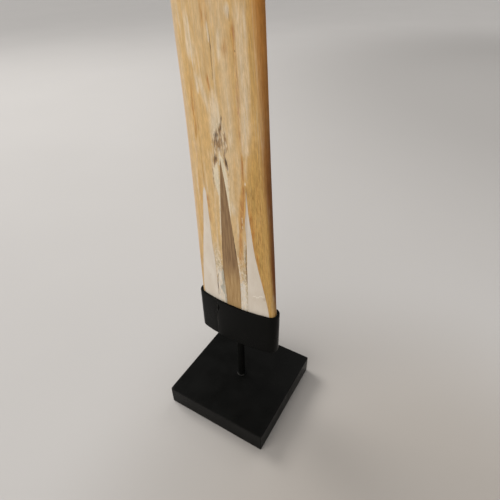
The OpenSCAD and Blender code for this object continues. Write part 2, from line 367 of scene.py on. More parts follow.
def pale_wood():
    """Straw-coloured wood with long streaks, and the painted layers of its stains."""
    f = Finish("pale_wood")
    grain = f.layer("grain", "Vector")
    hair = f.noise(grain, 0.6, 3, 11, 4, 0.7)
    strokes = f.noise(grain, 0.85, 3, 9, 4, 0.65, 0.4)
    crumb = f.noise(grain, 1.5, 3, 3.2, 5, 0.72)
    strand = f.noise(grain, 1.5, 4, 16, 4, 0.65, 0.5)
    fibre = f.noise(grain, 1.7, 5, 40, 5, 0.6, 0.35)
    mottle = f.noise(grain, 3, 3, 8, 5, 0.65)
    streak = f.noise(grain, 5, 9, 130, 4, 0.6, 0.3)
    drift = f.noise(grain, 6, 10, 60, 4, 0.55, 0.4)
    band = f.noise(grain, 15, 30, 260)
    wisp = f.sum(fibre, 0.6, f.times(hair, 0.4))
    ash, crevice_shade = f.layer("ash"), f.layer("crevice_shade")

    def stained(colour, name, stain, reach=0.8, low=0.05, high=0.8, most=1.0, breaker=wisp):
        share = f.broken(f.layer(name), breaker, reach * 2)
        share = f.times(share, f.span(f.layer(name), 0.02, 0.3))
        return f.over(colour, stain, share, low, high, most)

    colour = f.over(STRAW, HONEY, band, 0.36, 0.64)
    colour = f.mix(f.times(f.layer("gold"), f.span(streak, 0.3, 0.7, 0.5, 1)), colour, AMBER)
    colour = f.over(colour, AMBER, drift, 0.5, 0.7, 0.35)
    colour = f.over(colour, CREAM, drift, 0.48, 0.3, 0.5)
    colour = f.over(colour, TAN, streak, 0.5, 0.75, 0.3)
    colour = f.over(colour, TAN, fibre, 0.5, 0.8, 0.28)
    colour = f.over(colour, CREAM, fibre, 0.5, 0.22, 0.3)
    colour = f.mix(f.times(f.layer("rose"), f.span(fibre, 0.3, 0.6, 0.9, 0.5)), colour, ROSE)
    colour = stained(colour, "olive", f.over(OLIVE, AMBER, fibre, 0.4, 0.6), most=0.75)
    brown = f.times(f.span(strand, 0.48, 0.64), f.span(f.layer("olive"), 0.1, 0.9, 0, 0.6))
    colour = f.mix(brown, colour, BROWN)
    colour = stained(colour, "ochre", f.over(OCHRE, AMBER, strand, 0.4, 0.6), 1.0, most=0.8)
    colour = stained(colour, "pale", CREAM, most=0.8)
    # The narrow +X side: a brown that is partly its own colour and partly painted shade where it turns from
    # the light, with more painted shade towards the bottom.
    bark_and_shade = f.mix(f.layer("deep_shade"), BARK, DARK_BARK_AND_SHADE)
    bark_and_shade = f.over(bark_and_shade, DARK_BARK_AND_SHADE, wisp, 0.45, 0.7, 0.45)
    colour = stained(colour, "bark_and_shade", bark_and_shade, 0.4, 0.05, 0.95)
    colour = stained(colour, "dust", f.over(DUST, CREAM, crumb, 0.4, 0.62), 0.7, breaker=crumb)
    white = f.over(CREAM, PLASTER, crumb, 0.36, 0.6)
    colour = stained(colour, "white", white, 0.9, 0.15, 0.75, breaker=crumb)
    chalk = f.over(CHALK, CREAM, crumb, 0.36, 0.6)
    colour = stained(colour, "chalk", chalk, 0.8, 0.15, 0.8, breaker=crumb)
    colour = f.over(colour, f.over(TAN, CREAM, mottle, 0.4, 0.6), ash, 0.1, 0.8, 0.75)
    torn = f.times(f.span(f.broken(ash, strokes, 3.6), 0.25, 1.3), f.span(ash, 0.05, 0.35))
    colour = f.mix(f.times(torn, 0.9), colour, f.over(ASH, DARK_BROWN, hair, 0.4, 0.6))
    colour = stained(colour, "slate", SLATE, most=0.7)
    # Painted shade in the front's cracks.
    dark = f.times(f.span(f.broken(crevice_shade, strokes, 2.0), 0.2, 1.0), f.span(crevice_shade, 0.02, 0.3))
    colour = f.mix(f.times(dark, 0.8), colour, DARK_BROWN)
    shade = f.times(f.span(hair, 0.28, 0.72, 0.89, 1.08), f.span(mottle, 0.25, 0.75, 0.88, 1.12))
    grey = f.node("CombineColor", {0: shade, 1: shade, 2: shade}).outputs[0]
    colour = f.mix(1.0, colour, grey, "MULTIPLY")
    pores = f.span(f.cells(grain, 1.3, 3, 12), 0.12, 0.03, 0, 0.2)
    colour = f.mix(pores, colour, BARK)
    height = f.sum(torn, -0.9, f.sum(hair, 0.5, f.times(fibre, 0.6)))
    height = f.maths("SUBTRACT", height, pores)
    return f.done(height, 0.12, Base_Color=colour, Roughness=f.span(fibre, 0.3, 0.7, 0.5, 0.64),
                  Specular_IOR_Level=f.span(f.layer("bark_and_shade"), 0, 1, 0.28, 0.1))


def end_grain():
    """Sawn ends and joint faces of the wood."""
    f = Finish("end_grain")
    place = f.place()
    pores = f.cells(place, 0.7, 0.7, 0.7)
    saw = f.noise(place, 9, 0.6, 3, 3)
    colour = f.over(tint(176, 142, 98), tint(206, 176, 130), saw, 0.3, 0.7)
    colour = f.over(colour, tint(104, 74, 46), pores, 0.22, 0.06, 0.6)
    return f.done(f.maths("ADD", pores, saw), 0.15, Base_Color=colour, Roughness=0.75)


def bored_wood():
    """The gouged inside of the tube."""
    f = Finish("bored_wood")
    grain = f.layer("grain", "Vector")
    fibre = f.noise(grain, 0.8, 3, 12, 4)
    gouge = f.noise(grain, 5, 5, 36)
    colour = f.over(tint(122, 88, 56), tint(170, 130, 86), gouge, 0.35, 0.65)
    colour = f.over(colour, tint(88, 62, 40), fibre, 0.5, 0.75, 0.5)
    return f.done(f.sum(gouge, 2.0, fibre), 0.3, Base_Color=colour, Roughness=0.8)


def heart_wood():
    """Grey-brown heartwood, warmer towards the bell."""
    f = Finish("heart_wood")
    grain = f.layer("grain", "Vector")
    hair = f.noise(grain, 0.45, 3, 7, 4, 0.7)
    fibre = f.noise(grain, 1.4, 3, 30, 4, 0.6)
    cool = f.over(tint(150, 120, 84), tint(122, 92, 62), fibre, 0.35, 0.65)
    gold = f.over(tint(182, 150, 104), tint(156, 122, 78), fibre, 0.35, 0.65)
    colour = f.mix(f.layer("warm"), cool, gold)
    colour = f.over(colour, tint(96, 72, 52), hair, 0.52, 0.75, 0.4)
    # Painted shade in the gaps along the heartwood's edges.
    dark = f.span(f.broken(f.layer("crevice_shade"), fibre, 1.5), 0.2, 1.0)
    colour = f.mix(f.times(dark, 0.8), colour, tint(66, 48, 34))
    colour = f.over(colour, tint(126, 116, 100), f.layer("slate"), 0.1, 1.0, 0.6)
    return f.done(hair, 0.1, Base_Color=colour, Roughness=f.span(fibre, 0.3, 0.7, 0.52, 0.66),
                  Specular_IOR_Level=0.3)


def plaster():
    """Cream filler, rubbed smooth, with pores and faint trowel marks."""
    f = Finish("plaster")
    place = f.place()
    cloud = f.noise(place, 12, 12, 30, 4)
    drag = f.noise(place, 1.5, 2, 22, 4)
    tooth = f.noise(place, 0.8, 0.8, 1.2, 3)
    pits = f.times(f.span(f.cells(place, 2.4, 2.4, 3.4), 0.12, 0.04), f.span(cloud, 0.5, 0.6))
    colour = f.over(tint(216, 205, 190), tint(208, 195, 178), cloud, 0.3, 0.7)
    colour = f.over(colour, tint(202, 186, 166), drag, 0.5, 0.75, 0.3)
    colour = f.over(colour, tint(200, 186, 168), tooth, 0.5, 0.8, 0.35)
    colour = f.over(colour, tint(170, 146, 116), f.layer("stain"), 0.1, 1.0, 0.6)
    colour = f.mix(f.times(pits, 0.35), colour, tint(150, 132, 110))
    colour = f.mix(f.times(f.layer("ridge"), 0.9), colour, tint(238, 230, 218))
    height = f.maths("SUBTRACT", f.sum(drag, 0.5, tooth), pits)
    return f.done(height, 0.08, Base_Color=colour, Roughness=0.72, Specular_IOR_Level=0.25)


def black_paint(name, base, gloss, worn_and_lit):
    """Satin black over steel: orange peel, dust specks, and lighter edges, partly scuffed paint and partly
    painted highlight. gloss is the range of its roughness, and worn_and_lit the colour of those edges."""
    f = Finish(name)
    place = f.place()
    peel = f.noise(place, 1.4, 1.4, 1.4)
    cloud = f.noise(place, 30, 30, 30, 4)
    scuff = f.noise(place, 2, 14, 5, 4, 0.7)
    dust = f.span(f.cells(place, 5, 5, 5), 0.07, 0.03)
    colour = f.mix(cloud, base, tuple(1.6 * c for c in base))
    colour = f.over(colour, tint(30, 29, 28), scuff, 0.6, 0.85, 0.3)
    # The edge layer holds scuffed paint and painted highlights alike; both take the lighter edge colour.
    rubbed_and_lit = f.span(f.broken(f.layer("edge"), scuff, 1.2), 0.3, 0.7)
    colour = f.mix(f.times(rubbed_and_lit, 0.6), colour, worn_and_lit)
    colour = f.mix(f.times(dust, 0.15), colour, tint(110, 106, 100))
    return f.done(f.sum(scuff, 0.3, peel), 0.04, Base_Color=colour,
                  Roughness=f.span(cloud, 0.35, 0.7, *gloss), Specular_IOR_Level=0.045)


def felt_cloth():
    """Black wool felt."""
    f = Finish("felt_cloth")
    place = f.place()
    hair = f.noise(place, 0.5, 0.5, 0.5, 5, 0.75, 1.5)
    lint = f.noise(place, 6, 6, 6, 3)
    colour = f.mix(hair, tint(6, 6, 6), tint(22, 21, 20))
    colour = f.over(colour, tint(50, 48, 45), lint, 0.55, 0.8, 0.25)
    return f.done(hair, 0.3, Base_Color=colour, Roughness=0.95, Specular_IOR_Level=0.15,
                  Sheen_Weight=0.25)


def screw_steel():
    """Black oxide on a steel screw, brighter in patches."""
    f = Finish("screw_steel")
    place = f.place()
    turned = f.noise(place, 3, 3, 0.3)
    cloud = f.noise(place, 4, 4, 4, 4)
    colour = f.over(tint(44, 44, 46), tint(84, 82, 80), cloud, 0.4, 0.7)
    return f.done(turned, 0.04, Base_Color=colour, Metallic=0.9,
                  Roughness=f.span(cloud, 0.3, 0.7, 0.3, 0.5))


def bees_wax():
    """Amber wax, kneaded on by hand."""
    f = Finish("bees_wax")
    place = f.place()
    lump = f.noise(place, 7, 7, 7, 3)
    prints = f.noise(place, 0.7, 0.7, 3, distortion=0.8)
    dirt = f.noise(place, 2, 2, 2, 4)
    colour = f.over(tint(214, 158, 66), tint(170, 112, 40), lump, 0.35, 0.68)
    colour = f.over(colour, tint(112, 74, 34), dirt, 0.62, 0.75, 0.6)
    return f.done(f.sum(prints, 0.3, lump), 0.2, Base_Color=colour,
                  Roughness=f.span(lump, 0.3, 0.7, 0.34, 0.5), Subsurface_Weight=0.25,
                  Subsurface_Radius=(4 * MM, 2 * MM, 0.8 * MM), Subsurface_Scale=1.0)


# ---- stains, cracks and torn wood

# Each streak is a list of (height above the socket's rim, x, half width, strength), the first
# three in millimetres, from its lower end to its upper end.
STREAKS = {
    "pale": [
        [(274, -30.4, 0.7, 0), (282, -30.8, 0.9, 0.8), (296, -31.4, 1.0, 0.9), (312, -31.8, 1.0, 0.9),
         (324, -32, 0.8, 0)],
        [(232, -13, 3, 0), (242, -15.5, 3.5, 0.45), (256, -21, 4, 0.45), (270, -27, 4, 0.5),
         (284, -30.5, 3, 0)],
        [(278, -33, 3, 0), (290, -34.5, 3.5, 0.6), (315, -34, 3, 0.5), (332, -34, 3, 0)],
        [(204, -12, 4, 0), (222, -11.5, 5, 0.6), (232, -10.5, 6, 0.7), (250, -10, 5.5, 0.65),
         (270, -10, 4, 0)],
        [(222, -5, 0.9, 0), (228, -5.4, 1.2, 1.1), (243, -6.2, 1.2, 1), (256, -7, 1, 0.4),
         (262, -7, 0.8, 0)],
        [(254, -27.5, 1.4, 0), (260, -27.7, 1.7, 0.95), (272, -28, 1.4, 0.6), (282, -28.5, 1, 0)],
        [(298, -11.2, 0.6, 0), (302, -11, 0.7, 1), (312, -11.6, 0.7, 1), (318, -11.8, 0.5, 0)],
        [(314, 8, 1.5, 0), (324, 7.6, 2.2, 0.8), (332, 7.5, 1.8, 0)],
        [(280, -2, 1.5, 0), (290, -1.8, 2, 0.55), (306, -1.5, 1.6, 0.5), (316, -1.5, 1, 0)],
        [(130, 7, 2.5, 0), (144, 5.5, 3, 0.7), (160, 4, 2, 0)],
        [(198, 20, 2, 0), (208, 21, 4.5, 0.5), (235, 21.5, 5, 0.6), (270, 20, 5, 0.5), (320, 17, 5, 0.45),
         (350, 15, 4, 0)],
    ],
    "white": [
        [(-4, -18.5, 7, 1.3), (30, -18, 6.5, 1.2), (50, -17.5, 5.5, 0.9), (58, -17, 4, 0)],
        [(-4, 14.5, 4.5, 1.2), (30, 14.2, 4.2, 1.1), (42, 13.6, 3.6, 0.7), (50, 12, 3, 0.4),
         (62, 10.6, 1.6, 0.5), (80, 9.6, 1.2, 0.4), (90, 9, 1, 0)],
    ],
    "chalk": [
        [(150, -10, 0.9, 0.3), (160, -11.4, 2, 1), (174, -12.8, 3.2, 1.1), (186, -12.8, 3.2, 1.0),
         (193, -12, 2, 0.6), (198, -11, 1, 0)],
        [(128, 2.6, 0.6, 0), (140, 1.9, 0.9, 0.8), (156, 0.4, 1.3, 1), (176, -1.8, 2.3, 1.1),
         (190, -3.8, 2.2, 1.1), (200, -5.6, 1.5, 0.9)],
        [(190, -8.2, 1, 0.6), (199, -7.2, 1.5, 1.2), (207, -7, 0.9, 0)],
        [(84, -13.5, 0.8, 0), (110, -12.2, 0.9, 0.7), (150, -10.6, 0.8, 0.8), (170, -9.5, 0.6, 0)],
        [(172, 20, 0.5, 0), (176, 20.2, 0.6, 0.9), (180, 20.2, 0.5, 0)],
        [(121.5, 16, 0.6, 0), (123.5, 16, 0.8, 1.0), (126, 16.2, 0.6, 0.2), (134.5, 16, 0.6, 0.9),
         (136.5, 16, 0.4, 0)],
    ],
    "dust": [
        [(46, -20, 7, 0), (56, -19.5, 7, 0.9), (72, -20, 6.5, 0.6), (92, -20.5, 5, 0.25), (112, -20, 4, 0)],
        [(-4, 20, 2.4, 0.9), (40, 19, 3.5, 0.8), (60, 16, 5, 0.65), (80, 15, 4.5, 0.35), (100, 14, 3, 0)],
        [(66, 17.5, 1.6, 0), (80, 17.8, 1.8, 0.8), (100, 18.2, 1.4, 0.6), (112, 18.6, 1, 0)],
        [(184, -10, 4, 0), (196, -9, 7, 0.4), (212, -8, 8, 0.5), (232, -8, 7, 0.5), (244, -8, 5, 0)],
    ],
    "ochre": [
        [(112, 14.5, 2.5, 0), (122, 14.8, 2.8, 0.8), (138, 16, 2.8, 1.3), (160, 16.6, 2.4, 1.2),
         (174, 17.2, 1.5, 0.7), (216, 16.6, 1, 0.6), (224, 16, 0.8, 0)],
        [(44, 14, 2, 0), (56, 15, 3, 0.6), (82, 13, 3, 0.8), (104, 13.4, 3, 0.7), (118, 14.5, 2.5, 0.6),
         (126, 15, 2, 0)],
        [(104, 29, 1, 0), (114, 28, 1.8, 0.8), (122, 27, 2.2, 1), (136, 25.8, 2, 0.9), (152, 24, 1.4, 0.3),
         (160, 23.5, 1, 0)],
        [(30, 42.6, 1.2, 0), (44, 40.5, 1.5, 0.4), (72, 35, 1.5, 0.5), (100, 29.5, 1.5, 0.8),
         (116, 27, 1, 0)],
        [(50, 15.6, 1, 0), (54, 15.8, 1.8, 0.9), (58, 15.4, 1.4, 0.7), (62, 15, 1, 0)],
        [(205, 15, 1.4, 0), (222, 15.6, 1.8, 0.5), (262, 15.4, 2, 0.6), (296, 13, 1.6, 0.5),
         (301, 12.6, 1.8, 0.65), (308, 12.4, 2.3, 0.95), (314, 12.8, 1.6, 0.45), (322, 13, 1, 0)],
        [(205, -35.5, 2, 0), (220, -35.5, 3, 0.5), (252, -36, 3.4, 0.55), (266, -34.5, 2, 0.45),
         (276, -33.5, 1.2, 0)],
        [(256, -12.6, 0.8, 0), (262, -13.6, 1.3, 0.6), (271, -14.8, 1.7, 0.65), (279, -16, 1.2, 0)],
        [(304, -15, 3, 0), (314, -14.5, 4, 0.55), (330, -14, 4, 0.4), (345, -14, 3, 0)],
        [(108, -25.5, 1, 0), (120, -26, 2.2, 0.7), (146, -27.3, 2, 0.75), (160, -28, 1, 0)],
        [(70, -44.5, 1.3, 0), (90, -42.5, 2, 0.25), (110, -40.5, 2.5, 0.35), (150, -38, 3, 0.3),
         (230, -36.5, 2.5, 0.35), (240, -36, 2, 0)],
        [(282, 5, 3, 0), (296, 4, 3, 0.55), (312, 5, 2.5, 0)],
    ],
    "olive": [
        [(-4, 48, 3, 0.4), (40, 44, 6, 0.9), (100, 36, 9, 1.1), (170, 31, 10, 1), (206, 33, 7, 0.7),
         (222, 32, 4, 0.4), (300, 27, 3, 0.6), (340, 24, 3, 0.6)],
        [(-4, -52, 3, 0.7), (60, -49, 3, 0.6), (100, -47, 3, 0)],
        [(-4, 49, 2, 1.2), (24, 45.5, 2.2, 1.2), (36, 43, 1.4, 0.8), (46, 40.5, 1.2, 0)],
        [(-6, 18.8, 1.0, 1.0), (8, 19, 1.2, 0.9), (30, 19, 1.2, 1.0), (40, 18.4, 1.0, 0.3),
         (52, 17.4, 1.6, 0.8), (60, 17, 1, 0)],
        [(64, 19, 1, 0), (72, 19.4, 1.3, 0.9), (84, 19.6, 1.2, 0.9), (96, 19.6, 0.8, 0)],
        [(158, -30.5, 0.8, 0), (172, -31, 1.1, 0.7), (230, -31.5, 1.1, 0.6), (262, -32, 0.8, 0)],
        [(204, -37, 1, 0), (216, -35.5, 1.4, 0.9), (226, -35, 1, 0)],
    ],
    "ash": [
        [(200, -7, 3, 0), (206, -7.5, 5, 0.7), (214, -9, 4.6, 1.0), (221, -9.6, 3.6, 1.0),
         (226, -9, 2, 0.3), (229, -8, 1, 0)],
        [(203, -0.4, 1.4, 0), (208, 0.4, 2, 0.8), (218, 0, 2.1, 0.9), (225, -0.6, 1.2, 0)],
        [(203, -4, 2, 0), (208, -4, 3, 0.55), (218, -4.4, 3, 0.6), (227, -4, 1.5, 0)],
        [(212, -4.5, 1.6, 0), (220, -5, 2, 0.7), (226, -5.2, 1.8, 0.9), (231, -4, 1.2, 0.7),
         (240, -2.8, 0.7, 0.5), (243, -2.5, 0.5, 0)],
        [(184, -14.6, 0.8, 0), (190, -14, 1.1, 0.8), (196, -12.4, 2.2, 1.2), (202, -12.4, 1.6, 0.6),
         (210, -12.6, 1.4, 0.7), (216, -12.6, 1, 0)],
        [(184, 2, 0.6, 0), (188, 1.4, 1.2, 1.2), (196, -0.6, 1.6, 1.3), (201, -2.2, 0.8, 0.8),
         (212, 0.5, 1.6, 0.9), (224, -0.5, 1.3, 0.6), (230, -1, 0.8, 0)],
        [(160, -16.2, 0.8, 0), (172, -16.8, 0.9, 0.55), (192, -16.6, 0.9, 0.6), (206, -15.5, 1, 0.4),
         (214, -15, 0.8, 0)],
        [(160, 1.6, 0.6, 0), (170, 2.6, 0.7, 0.6), (184, 2.5, 0.6, 0.5), (190, 2, 0.4, 0)],
        [(4, -23, 1.1, 0), (12, -23.2, 1.4, 0.5), (30, -22.8, 1.2, 0.5), (44, -22.6, 1.3, 0.6),
         (50, -23.4, 1.6, 0.3), (60, -24.2, 1.4, 0.5), (80, -25.2, 1.1, 0.5), (92, -26, 0.8, 0)],
        [(20, -12.6, 0.8, 0), (32, -12.6, 0.9, 0.7), (50, -13, 0.9, 0.8), (56, -13.4, 0.9, 0.6),
         (64, -13.6, 0.6, 0)],
        [(36, 20.6, 0.7, 0), (48, 20.2, 1, 0.7), (70, 19.8, 1, 0.7), (80, 19.8, 0.8, 0)],
    ],
    "slate": [
        [(-6, -11.6, 1.2, 0.9), (12, -12, 1.0, 0.6), (20, -15, 2.4, 1.0), (25, -15.4, 2.8, 1.1),
         (30, -13.6, 1.4, 0.7), (40, -13.4, 1.8, 1.1), (50, -13.4, 1.6, 0.9), (58, -13.4, 1.0, 0)],
        [(44, -18, 1.4, 0), (50, -18.4, 2, 0.5), (56, -18.8, 1.2, 0)],
    ],
    # Painted shade in the front's cracks, which relief() also sinks.
    "crevice_shade": [
        [(266, -8.6, 0.35, 0), (272, -8.8, 0.45, 0.8), (282, -9, 0.4, 0.5), (294, -9.2, 0.45, 0.85),
         (306, -9.9, 0.45, 0.7), (312, -10.4, 0.3, 0)],
        [(314, 9.4, 0.3, 0), (318, 9.3, 0.4, 0.6), (326, 8.8, 0.4, 0.5), (330, 8.6, 0.3, 0)],
        [(293, 13, 0.5, 0), (294.5, 13, 0.7, 1), (296, 13, 0.5, 0)],
        [(225, -4.4, 0.8, 0), (227, -4.4, 1.1, 1), (230, -3.8, 0.5, 0.8), (238, -2.8, 0.5, 1),
         (241, -2.6, 0.3, 0)],
        [(219, -6.5, 1, 0), (221, -7.6, 1.3, 0.8), (223, -8, 0.8, 0)],
        [(193, -13.5, 0.8, 0), (196, -12.8, 1.5, 1), (199, -11.6, 1, 0.5), (201, -11, 0.6, 0)],
        [(189, 0.8, 0.6, 0), (192, 0.2, 0.9, 1), (198, -1.6, 0.8, 0.8), (200, -2, 0.5, 0)],
        [(6, -23, 0.6, 0), (10, -23, 1.1, 0.8), (14, -22.6, 0.6, 0.3), (20, -22.9, 0.7, 0.7),
         (22.5, -23.2, 1.3, 1.3), (25, -22.9, 0.9, 1.1), (29, -22.6, 0.6, 0.4), (34, -22.3, 0.6, 0.7),
         (38, -21.9, 0.6, 0.5), (42, -21.6, 1.0, 1.0), (46, -21.6, 0.7, 0.3), (50, -21.6, 0.5, 0)],
        [(58, 19.5, 0.4, 0), (66, 19.2, 0.8, 0.7), (82, 19.2, 1.0, 0.8), (90, 19.3, 0.9, 0.9),
         (98, 19.5, 0.6, 0.7), (110, 19, 0.3, 0)],
        [(44, 15.6, 1, 0), (47, 15.8, 1.9, 0.75), (50, 16.2, 1, 0)],
        [(156, 20.9, 0.25, 0), (164, 20.6, 0.35, 0.7), (176, 20.4, 0.35, 0.6), (184, 20, 0.3, 0)],
        [(100, 23.4, 0.3, 0), (120, 22.9, 0.45, 0.6), (140, 22.2, 0.45, 0.7), (152, 21.4, 0.3, 0)],
    ],
}


def streaked(kind, x, z):
    """How strong a kind of streak is at (x, z), both in metres."""
    h, x = (z - RIM) / MM, x / MM
    total = np.zeros_like(h)
    for streak in STREAKS[kind]:
        levels, middles, widths, strengths = np.array(streak, float).T
        wander = 0.35 * noise(h / 9, np.full_like(h, middles[0]), 40)
        off = (x - np.interp(h, levels, middles) - wander) / np.interp(h, levels, widths)
        strength = np.interp(h, levels, strengths, left=0, right=0)
        total = np.maximum(total, strength * np.exp(-off**2 / 1.4))
    return total


def shaved(x, z, depth, wide, tall, seed):
    """The waves that a drawknife leaves on the log: how far the face stands out, in
    millimetres, at (x, z) in metres. depth, wide and tall are those of a wave."""
    h, x = (z - RIM) / MM, x / MM
    return depth * rough(x / wide, h / tall, seed) + 0.03 * rough(x / 2.6, h / 60, seed + 4)


def relief(x, z):
    """How far the front face stands out above the socket, in metres: waves, sunken cracks,
    torn wood and the chalky filling beside the heartwood."""
    h = (z - RIM) / MM
    cracks, torn, filled = (np.clip(streaked(kind, x, z), 0, 1) for kind in ("crevice_shade", "ash", "white"))
    splinters = 0.34 * rough(x / (1.3 * MM), h / 7, 21, 4) - 0.2
    out = shaved(x, z, 0.16, 26, 110, 11) + torn * splinters - 0.42 * cracks + 0.05 * filled
    return MM * smooth(h, 3, 14) * out


def relief_behind(x, z):
    """The same for the back, which has only the waves."""
    return MM * smooth((z - RIM) / MM, 3, 14) * shaved(x, z, 0.18, 30, 120, 61)


# ---- the tube

def heights(fine, fine_to, coarse):
    """Row heights up the tube: fine up to a height, then coarse, rounded at both ends."""
    ease = np.array([0, 0.25, 0.6, 1.2]) * MM
    foot, top = TUBE_FOOT + ease, TUBE_TOP - ease[::-1]
    low = np.arange(foot[-1] + fine, fine_to, fine)
    high = np.linspace(low[-1], top[0], int((top[0] - low[-1]) / coarse) + 2)[1:-1]
    return np.concatenate([foot, low, high, top])


def end_round(z):
    """How far the surface draws in at the tube's two ends, whose edges are eased."""
    from_end = np.minimum(z - TUBE_FOOT, TUBE_TOP - z) / MM
    return 0.5 * MM * (1 - smooth(from_end, -0.4, 0.7)) / 0.75


def half_tube(name, way, z, faces_out, relief_at, materials):
    """One half of the split log: its outside, its bore, and the joint faces between. way is
    -1 for the front and 1 for the back."""
    middle, a, b, r, wall = section(z)
    middle, up = middle[:, None], z[:, None]
    x, y, nx, ny = half_oval(a, b, r, np.linspace(0, 1, 15) ** 1.25, faces_out)
    from_seam = y / MM
    glue_groove = 0.13 * MM * hump(from_seam / 0.35)
    out = relief_at(x + middle, up + 0 * x) * smooth(from_seam, 0.4, 4) - end_round(up) - glue_groove
    keep = np.clip(from_seam / 0.2, 0, 1)
    outer = np.stack([x + middle + nx * out, way * (y + ny * out * keep), up + 0 * x], -1)

    x, y, nx, ny = half_oval(a - wall, b - wall, r - wall, np.linspace(0, 1, 5), np.linspace(0, 1, 27))
    gouges = 0.22 * MM * rough(x / (6 * MM), (up + 0 * x) / (38 * MM), 31) * smooth(y / MM, 0.5, 3)
    gouges = gouges * smooth(np.minimum(up - TUBE_FOOT, TUBE_TOP - up) / MM, 0, 20)
    inner = np.stack([x + middle + nx * gouges, way * (y + ny * gouges), up + 0 * x], -1)

    rows, m, k = len(z), outer.shape[1], inner.shape[1]
    outer_ids = np.arange(rows * m).reshape(rows, m)
    inner_ids = rows * m + np.arange(rows * k).reshape(rows, k)
    skin, bore = grid(rows, m), [face[::-1] for face in grid(rows, k, rows * m)]
    ends = []
    for side, turn in ((0, 1), (-1, -1)):
        edges = np.stack([outer_ids[:, side], inner_ids[:, side]], 1)
        ends += np.concatenate([edges[:-1], edges[1:, ::-1]], 1)[:, ::turn].tolist()
    for row, turn in ((0, -1), (-1, 1)):
        ends += [face[::turn] for face in bridge(outer_ids[row].tolist(), inner_ids[row].tolist())]
    index = [0] * len(skin) + [1] * len(bore) + [2] * len(ends)
    points = np.concatenate([outer.reshape(-1, 3), inner.reshape(-1, 3)])
    nodes = [f"tube_{part}_{'front' if way < 0 else 'back'}" for part in HALF_LENGTHS]
    return piece(name, points, skin + bore + ends, INSTRUMENT, nodes, materials, index)


def grain_of(co, side):
    """Where each point lies in the log's grain: along its girth, which half, and its height.
    The grain follows the taper, so the girth is measured on the tube's section at the rim."""
    middle, a = section(co[:, 2])[:2]
    share = np.clip((co[:, 0] - middle) / a, -1, 1)
    reach = section(np.array([RIM]))[1][0]
    girth = reach * (share + 0.25 * np.sign(share) * smooth(abs(share), 0.8, 1.0))
    return np.stack([girth, np.full(len(co), side), co[:, 2]], 1)


def stain(obj, side):
    """Paints the tube's layers: the streaks in front, and the rest on both halves. side is -1
    for the front and 1 for the back."""
    co = points_of(obj)
    x, z = co[:, 0], co[:, 2]
    middle, a = section(z)[:2]
    share = (x - middle) / a
    paint(obj, "grain", grain_of(co, side))
    h = (z - RIM) / MM
    uneven = 0.02 * rough(h / 70, np.zeros_like(h), 5)
    # The narrow +X side's brown, partly its own colour and partly painted shade, reaching further onto the
    # front higher up, with more painted shade towards the bottom.
    edge = np.interp(h, (0, 60, 330), (0.955, 0.93, 0.85)) + uneven
    fade = np.interp(h, (0, 60, 200), (0.07, 0.10, 0.19))
    paint(obj, "bark_and_shade", smooth(share, edge - 0.12 * smooth(h, 60, 220), edge + fade))
    paint(obj, "deep_shade", smooth(h, 330, 140))
    gold = smooth(share, 0.1, 0.75) * (0.35 + 0.65 * smooth(h, 270, 130))
    paint(obj, "gold", np.maximum(gold, 0.9 * smooth(share, 0.5, 0.85)))
    paint(obj, "rose", smooth(-share, 0.78, 0.95))
    for kind in STREAKS:
        paint(obj, kind, streaked(kind, x, z) if side < 0 else np.zeros(len(x)))


# ---- inlays

INLAY_DEPTH = 2.1 * MM
GAP = 0.06 * MM  # between an inlay and its pocket

# Small stains on the filler: x, height above the rim, size and strength.
FILLER_MARKS = [(-34, 36, 1.4, 0.5), (41.5, 27, 2.4, 0.7), (-49, 10, 1.6, 0.3), (29, 6, 3, 0.2)]


def inlay_edges(node):
    """Left and right edge of an inlay against height, from the outline of its CAD solid's
    outer face, smoothed."""
    co = points_of(CAD[node])
    z = np.linspace(co[:, 2].min(), co[:, 2].max(), 200)
    left, right = np.full(len(z), np.inf), np.full(len(z), -np.inf)
    level = 0.0001 * MM  # an edge that rises less than this is level
    for edge in CAD[node].data.edges:
        p, q = sorted((co[i] for i in edge.vertices), key=lambda point: point[2])
        if q[2] - p[2] < level:
            continue
        hit = (z >= p[2] - level) & (z <= q[2] + level)
        x = p[0] + (q[0] - p[0]) * (z[hit] - p[2]) / (q[2] - p[2])
        left[hit], right[hit] = np.minimum(left[hit], x), np.maximum(right[hit], x)
    for edge in (left, right):
        bad = ~np.isfinite(edge)
        edge[bad] = np.interp(z[bad], z[~bad], edge[~bad])
        edge[:] = np.convolve(np.pad(edge, 4, mode="reflect", reflect_type="odd"), np.ones(9) / 9, "valid")
    return z, left, np.maximum(right, left + 0.3 * MM)


def filler_ridge(x, z):
    """How strong the fine wavy ridge across the right filler is, at (x, z) in metres."""
    x, h = x / MM, (z - RIM) / MM
    line = 27.5 + 3.5 * smooth(x, 31, 40) + 0.9 * np.sin(0.9 * x) + 0.5 * np.sin(2.3 * x + 1)
    return hump((h - line) / 0.55) * smooth(x, 25, 29) * smooth(x, 41.5, 39)


